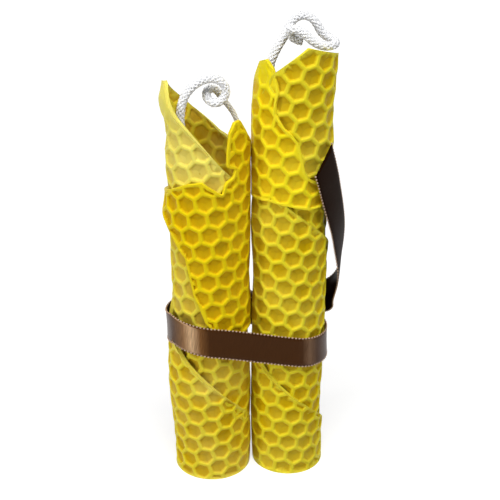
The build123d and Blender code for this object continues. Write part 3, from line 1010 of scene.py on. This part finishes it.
def cut_rim(roll, line, thickness):
    """Rounded strip along a cut edge, from the front face to the back face."""
    scale = radians(1) * roll["radius"]
    points = evenly(np.array([(angle * scale, height * mm) for angle, height in line]), 0.7 * mm)
    ahead = unit(np.gradient(points, axis=0))
    outward = np.stack([-ahead[:, 1], ahead[:, 0]], axis=1)
    profile = ((-0.05, 0.03), (0.08, -0.12), (0.12, -0.5), (0.08, -0.88), (-0.05, -1.0))
    places = []
    for point, out in zip(points, outward):
        for push, down in profile:
            depth = down * thickness if down < 0 else down * mm
            places.append((*(point + out * push * mm), depth))
    return np.array(places), [face[::-1] for face in quads(len(points), len(profile))]


def wax_sheet(name, roll, front, back, rims, turn_at, turn, wax_finish, seed, thickness, back_depth):
    """One wax sheet: cells in front, shallower cells behind, and its rounded cut edges."""
    scale = radians(1) * roll["radius"]
    places, faces, edge = sheet_side(roll, front, turn_at, turn, wax_finish, seed)
    depth = -places[:, 2] / cell_depth
    off_contact = (places[:, 0] / scale - roll["contact"] + 180) % 360 - 180
    places[:, 2] *= 1 - contact_press * np.exp(-((off_contact / contact_wide) ** 2))
    worn = np.clip((places[:, 1] / mm - roll["worn_above"]) / wear_run, 0, 1)
    places[:, 2] *= 1 - wear_press * worn
    depth *= 1 - wear_fade * worn
    parts = [(places, faces, depth, edge < border * 1.05, 1.0)]
    if back:
        half_cell = (turn_at[0], turn_at[1] + cell_pitch / mm / sqrt(3))
        places, faces, edge = sheet_side(roll, back, half_cell, turn, wax_finish, seed + 50)
        depth = -places[:, 2] / cell_depth
        places[:, 2] = -thickness + depth * back_depth
        parts.append((places, [face[::-1] for face in faces], depth, edge < border * 1.05, 0.0))
    for rim in rims:
        places, faces = cut_rim(roll, rim, thickness)
        parts.append((places, faces, np.zeros(len(places)), np.ones(len(places), bool), 1.0))
    all_places, all_faces, depths, edges, outers, smooth = [], [], [], [], [], []
    count = 0
    for places, faces, depth, edge, outer in parts:
        all_places.append(roll_up(roll, places[:, 0] / scale, places[:, 1], places[:, 2]))
        all_faces += [[i + count for i in face] for face in faces]
        smooth += [bool(depth[list(face)].max() < 0.1) for face in faces]
        depths.append(depth)
        edges.append(edge.astype(float))
        outers.append(np.full(len(places), outer))
        count += len(places)
    piece = build_mesh(name, np.vstack(all_places), all_faces, wax_finish)
    piece.data.polygons.foreach_set("use_smooth", smooth)
    for label, values in (("cell_depth", depths), ("cut_edge", edges), ("outer_face", outers)):
        layer = piece.data.attributes.new(label, "FLOAT", "POINT")
        layer.data.foreach_set("value", np.concatenate(values))
    print(name, len(piece.data.polygons), "faces")
    return piece


# %% [markdown]
# ## Left candle
# The main sheet starts behind on the right, at the foot. Its slanting edge climbs as it winds inwards, up
# to the point at the left of the mouth. Only what shows of each turn is made with cells. The second sheet
# is wrapped round the upper half. It has a notch and a torn spike at the right, and its lower edge slants.
# Warm hands and the ribbon press the wax, so a roll also has a list of soft bulges: each has an angle, a
# height, how far it stands out, and how wide and how high it is.

# %% Left sheets
left_roll = {
    "axis": left_axis,
    "end_angle": 150.0,
    "contact": 88,
    "worn_above": 104,
    "radius": 11.2 * mm,
    "pitch": 0.9 * mm,
    "spread": 0.5,
    "bulges": (
        (90, 8, 0.55, 50, 9), (-80, 31, 1.5, 70, 17), (-270, 25, 1.33, 55, 18), (-450, 60, 0.5, 60, 30),
        (-450, 113, 2.1, 60, 6), (-450, 97, 1.0, 50, 7),
    ),
}
left_edge = [
    (150, 0), (150, 2.5), (-340, 96.7), (-371, 103.2), (-409, 110.4), (-428, 116.2), (-436, 118.2),
    (-446, 118.4), (-469, 116.5), (-521, 107.7), (-565, 100.8), (-594, 98.7), (-660, 85),
]
left_roll_sheet = wax_sheet(
    "left_rolled_sheet",
    left_roll,
    front=[*left_edge, (-660, 83.5), (-215, 0.0)],
    back=[(-270, 80), (-270, 83.2), *left_edge[2:], (-660, 80)],
    rims=[left_edge[1:]],
    turn_at=(0, 23.4),
    turn=20,
    wax_finish=left_roll_wax,
    seed=3,
    thickness=1.2 * mm,
    back_depth=0.35 * mm,
)
left_wrap_roll = {
    "axis": left_axis,
    "end_angle": 225.0,
    "contact": 88,
    "worn_above": 104,
    "radius": 11.55 * mm,
    "pitch": 0.02 * mm,
    "spread": 0.02,
    "bulges": ((-85, 81, 0.85, 35, 4), (42, 110, -0.5, 30, 6), (88, 63, -0.3, 40, 5)),
}
left_wrap_outline = [
    (-120, 84.5), (-120, 86.5), (-90, 88), (-73, 89), (-31, 92.9), (-11, 93.7), (1.5, 92), (13, 90.4),
    (17, 90), (21, 92.6), (24, 93.4), (34, 94.3), (38, 96.5), (30, 97.0), (24, 97.6), (25, 102),
    (29, 106.5), (38, 109), (48, 109.2), (65, 104.5), (90, 100), (120, 95), (195, 92), (225, 90),
    (225, 60), (195, 47), (12, 47), (-9.4, 52.7), (-18.5, 57.9), (-25, 60.4), (-29, 64.5), (-32, 67.1),
    (-37, 71.6), (-46, 73.2), (-62, 76.8), (-73.5, 79.9), (-95, 82.4),
]
left_wrap_sheet = wax_sheet(
    "left_wrapped_sheet",
    left_wrap_roll,
    front=left_wrap_outline,
    back=left_wrap_outline,
    rims=[[*left_wrap_outline, left_wrap_outline[0]]],
    turn_at=(18.6, 88.6),
    turn=8.2,
    wax_finish=left_wrap_wax,
    seed=7,
    thickness=1.05 * mm,
    back_depth=0.2 * mm,
)

# %% [markdown]
# ## Right candle
# The right sheet is rolled the same way, and opens more towards the top. Its edge climbs in two slanting
# lines, then round the mouth to a corner at the front. The short second sheet has a flap that stands up
# at the left, and its cut edge runs down to the right in a wavy line. Some bulges of the roll are negative:
# they make it narrower where the ribbon slides over it.

# %% Right sheets
right_roll = {
    "axis": right_axis,
    "end_angle": 150.0,
    "contact": -92,
    "worn_above": 124,
    "radius": 10.4 * mm,
    "pitch": 0.75 * mm,
    "spread": 1.5,
    "bulges": (
        (60, 11, -0.28, 60, 9), (-90, 15, 0.93, 60, 22), (-180, 54, -0.2, 60, 8),
        (-300, 11, -0.28, 60, 9), (-270, 22, -0.3, 60, 10), (-270, 63, -0.28, 80, 11),
        (-430, 93, -0.55, 70, 8), (-450, 48, 1.1, 50, 11), (-450, 76, 0.8, 50, 12),
        (-630, 122, 1.2, 60, 14), (-630, 99, 0.9, 60, 6),
    ),
}
right_edge = [(150, 0), (150, 2.7), (-368, 84.9), (-638, 124.5), (-705, 128.2), (-757, 121.5), (-840, 100)]
right_roll_sheet = wax_sheet(
    "right_rolled_sheet",
    right_roll,
    front=[*right_edge, (-840, 96), (-728, 83.2), (-210, 0.0)],
    back=[(-470, 96), (-470, 99.4), *right_edge[3:], (-840, 96)],
    rims=[right_edge[1:]],
    turn_at=(-367.4, 56.2),
    turn=-13.6,
    wax_finish=right_roll_wax,
    seed=11,
    thickness=1.2 * mm,
    back_depth=0.35 * mm,
)
right_wrap_roll = {
    "axis": right_axis,
    "end_angle": 120.0,
    "contact": -92,
    "worn_above": 114,
    "radius": 10.95 * mm,
    "pitch": 0.02 * mm,
    "spread": 0.02,
    "bulges": ((-75, 124, -1.5, 70, 9),),
}
right_wrap_outline = [
    (-225, 86), (-225, 98), (-180, 102), (-120, 112), (-92, 119), (-75, 123.2), (-55, 124.4),
    (-40, 122.6), (-31, 118.5), (-28.5, 116.5), (-32, 114), (-33, 111), (-19, 107.4), (-7.5, 105.6),
    (2.5, 103.2), (4.5, 101.5), (8.7, 97.8), (11, 95.5), (17, 93.6), (30, 92), (75, 89), (120, 87.5),
    (120, 85), (44, 84.8), (19, 84.6), (-11.5, 86.1), (-39, 86.8), (-90, 85.4),
]
right_wrap_sheet = wax_sheet(
    "right_wrapped_sheet",
    right_wrap_roll,
    front=right_wrap_outline,
    back=right_wrap_outline,
    rims=[[*right_wrap_outline, right_wrap_outline[0]]],
    turn_at=(-7.8, 97.8),
    turn=-16.5,
    wax_finish=right_wrap_wax,
    seed=19,
    thickness=1.05 * mm,
    back_depth=0.2 * mm,
)

# %% [markdown]
# ## Inner turns
# Under the outer turns, the sheet goes on round the wick. Its inner turns show from below as a spiral,
# and from above at the bottom of the mouth. They are plain there, so a smooth spiral strip is enough.

# %% Inner turns
core_pitch = 1.08 * mm
core_thickness = 0.92 * mm


def inner_turns(name, axis, start_radius, height, spread, wax_finish):
    """Spiral strip from the outer turns to the wick."""
    turns = (start_radius - core_thickness - 1.1 * mm) / core_pitch
    steps = int(turns * 36)
    places, faces = [], []
    for step in range(steps + 1):
        turn = radians(150 - 10 * step)
        outer = start_radius - core_pitch * step / 36
        way = np.array([sin(turn), -cos(turn), 0])
        inner = outer - core_thickness
        for radius, level in ((outer, 0), (outer, 1), (inner, 1), (inner, 0)):
            place = axis + way * radius * (1 + spread * height * level)
            places.append(place + np.array([0, 0, level * height]))
    for step in range(steps):
        a = 4 * step
        for k in range(4):
            faces.append((a + k, a + (k + 1) % 4, a + 4 + (k + 1) % 4, a + 4 + k))
    faces.append((3, 2, 1, 0))
    faces.append([4 * steps + k for k in range(4)])
    piece = build_mesh(name, places, faces, wax_finish, smooth=False)
    turn_outwards(piece)
    for attribute_name in ("cell_depth", "cut_edge"):
        values = [0.5] * len(piece.data.vertices)
        piece.data.attributes.new(attribute_name, "FLOAT", "POINT").data.foreach_set("value", values)
    print(name, round(turns, 1), "turns")
    return piece


foot_height = 3 * mm
for side, axis, core_radius, foot_radius, spread, finish, sheet, wrap in (
    ("left", left_axis, 8.5, 10.0, 0.65, left_roll_wax, left_roll_sheet, left_wrap_sheet),
    ("right", right_axis, 7.6, 9.35, 1.2, right_roll_wax, right_roll_sheet, right_wrap_sheet),
):
    core_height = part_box(side + "_wick_core")[1][2]
    inner = inner_turns(side + "_inner_turns", axis, core_radius * mm, core_height, spread, finish)
    foot = inner_turns(side + "_foot_turns", axis, foot_radius * mm, foot_height, spread, finish)
    for piece in (sheet, inner, foot):
        settle(piece, side + "_candle", side + "_main_roll")
    settle(wrap, side + "_candle", side + "_outer_wrap")

# %% [markdown]
# ## Ribbon round the pair
# The ribbon lies on the outside of both candles and runs straight from one to the other. Its line is two
# arcs and two straight runs. It slopes down to the right. A ribbon that is pulled round a soft roll isn't
# quite even, so its line wanders a little, and it dips behind the left candle, on its way to the knot.

# %% Ribbon band
band_low, band_high = (np.array(corner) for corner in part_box("ribbon_band"))
ribbon_slope = tan(radians(10.8))
left_band_radius = left_axis[0] - band_low[0] - 0.22 * mm
right_band_radius = band_high[0] - right_axis[0] - 0.32 * mm


def band_line():
    """Closed line of the band's middle, from the valley at the back, round the left candle first."""
    spacing = right_axis[0] - left_axis[0]
    tilt = np.arcsin((left_band_radius - right_band_radius) / spacing)
    points = []
    for axis, radius, start, end in (
        (left_axis, left_band_radius, pi - tilt, 2 * pi + tilt),
        (right_axis, right_band_radius, tilt, pi - tilt),
    ):
        for turn in np.linspace(start, end, 32):
            points.append(axis + radius * np.array([sin(turn), -cos(turn), 0]))
    points.append(points[0])
    line = evenly(np.array(points), 0.8 * mm)
    line[:, 2] = ribbon_height * mm - ribbon_slope * line[:, 0]
    wander = np.linspace(0, 2 * pi, len(line))
    line[:, 2] += 0.25 * mm * np.sin(3 * wander + 1)
    behind = np.maximum(line[:, 1] + 7 * mm, 0) / (4 * mm)
    leftness = np.clip((5 * mm - line[:, 0]) / (15 * mm), 0, 1)
    line[:, 2] -= 2.2 * mm * leftness * (1 - np.exp(-behind))
    return line


band = band_line()
upright = np.tile((ribbon_slope * -0.15, 0.0, 1.0), (len(band), 1))
ribbon_band, band_edges = strip("ribbon_round_pair", band, upright, brown_satin)
stitched_edges += band_edges
settle(ribbon_band, "ribbon", "ribbon_band")
print("band", round(line_length(band) / mm, 1), "mm round")

# %% [markdown]
# ## Knot
# Behind the pair the ribbon is tied in a plain overhand knot: one end crosses the other and is pulled
# through a bunched loop. The loop is a ribbon that is wrapped round the crossing, and a fold lies under it.

# %% Knot
knot_middle = (knot_low + knot_high) / 2
knot_reach = (knot_high - knot_low) / 2


def knot_loop(wide, tall, deep, lean):
    """Closed loop of bunched ribbon round the crossing."""
    turns = np.linspace(0, 2 * pi, 49)
    flatness = 0.62
    x = wide * np.sin(turns) * lean
    y = deep * np.sign(np.cos(turns)) * np.abs(np.cos(turns)) ** flatness
    z = tall * np.sign(np.sin(turns)) * np.abs(np.sin(turns)) ** flatness
    line = knot_middle + np.stack([x, -y, z], axis=1)
    across = np.tile((1.0, 0.0, -lean * 0.5), (len(line), 1))
    return line, across


def bunched(name, line, across, width):
    """Ribbon that is gathered into ridges across its width."""
    tangent, across, facing, along = ribbon_frames(line, across, closed=True)
    facing = facing * np.sign((facing * (line - knot_middle)).sum(axis=1))[:, None]
    shares = np.linspace(-1, 1, 25)
    places, faces, weave = [], [], []
    for i in range(len(line)):
        for share in shares:
            ridge = 0.22 * mm * cos(share * 7.5 + 0.6 * sin(6 * along[i] / mm / 9))
            fall = -0.9 * mm * share**4
            places.append(line[i] + across[i] * share * width / 2 + facing[i] * (ridge + fall))
            weave.append((along[i], share * ribbon_width / 2))
    columns = len(shares)
    for i in range(len(line) - 1):
        for k in range(columns - 1):
            a = i * columns + k
            faces.append((a, a + 1, a + columns + 1, a + columns))
    piece = build_mesh(name, places, faces, brown_satin)
    map_weave(piece, weave)
    turn_outwards(piece)
    thick = piece.modifiers.new("ribbon thickness", "SOLIDIFY")
    thick.thickness = 0.3 * mm
    thick.offset = -1
    return piece


for name, lean, width, share in (
    ("knot_wrap", 0.25, 5.2 * mm, 1.0),
    ("knot_under_fold", -0.9, 4.6 * mm, 0.86),
):
    tall, deep = (knot_reach[2] - 0.6 * mm) * share, (knot_reach[1] - 0.5 * mm) * share
    line, across = knot_loop(knot_reach[0] * 0.7, tall, deep, lean)
    settle(bunched(name, line, across, width), "ribbon", "ribbon_knot")
    print(name, round(line_length(line) / mm, 1), "mm round")

# %% [markdown]
# ## Woven edge
# Both edges of the ribbon have a row of tiny loops of lighter thread, about a millimetre apart. A node
# tree turns each edge line into a curve, sets points along it at an even step and lays a small bead on
# each.

# %% Edge loops


def edge_loop_tree():
    """Node tree that lays thread beads along edge lines."""
    inputs = (
        ("Lines", "Geometry", None),
        ("Step", "Float", 1.0 * mm),
        ("Bead", "Float", 0.28 * mm),
        ("Thread", "Material", None),
    )
    group, given, node = new_tree("edge loops", inputs)
    curve = node("GeometryNodeMeshToCurve", {0: given["Lines"]})[0]
    points = node("GeometryNodeCurveToPoints", {"Curve": curve, "Length": given["Step"]}, mode="LENGTH")
    ball = node("GeometryNodeMeshUVSphere", {"Segments": 8, "Rings": 5, "Radius": given["Bead"]})
    beads = {
        "Points": points["Points"],
        "Instance": ball["Mesh"],
        "Rotation": points["Rotation"],
        "Scale": (0.9, 0.9, 1.05),
    }
    real = node("GeometryNodeRealizeInstances", {0: node("GeometryNodeInstanceOnPoints", beads)[0]})[0]
    end_tree(group, node("GeometryNodeSetShadeSmooth", {0: real})[0], given["Thread"])
    return group


edge_loops = edge_loop_tree()
line_places, line_edges = [], []
for line in stitched_edges:
    first = len(line_places)
    line_places += [tuple(point) for point in line]
    line_edges += [(first + i, first + i + 1) for i in range(len(line) - 1)]
edge_lines = bpy.data.meshes.new("edge lines")
edge_lines.from_pydata(line_places, line_edges, [])
loops_mesh = run_tree(edge_loops, {"Step": 1.0 * mm, "Bead": 0.28 * mm, "Thread": edge_thread}, edge_lines)
woven_edge = bpy.data.objects.new("woven_edge", loops_mesh)
scene.collection.objects.link(woven_edge)
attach(woven_edge, "ribbon")
print("woven edge", len(loops_mesh.polygons), "faces")
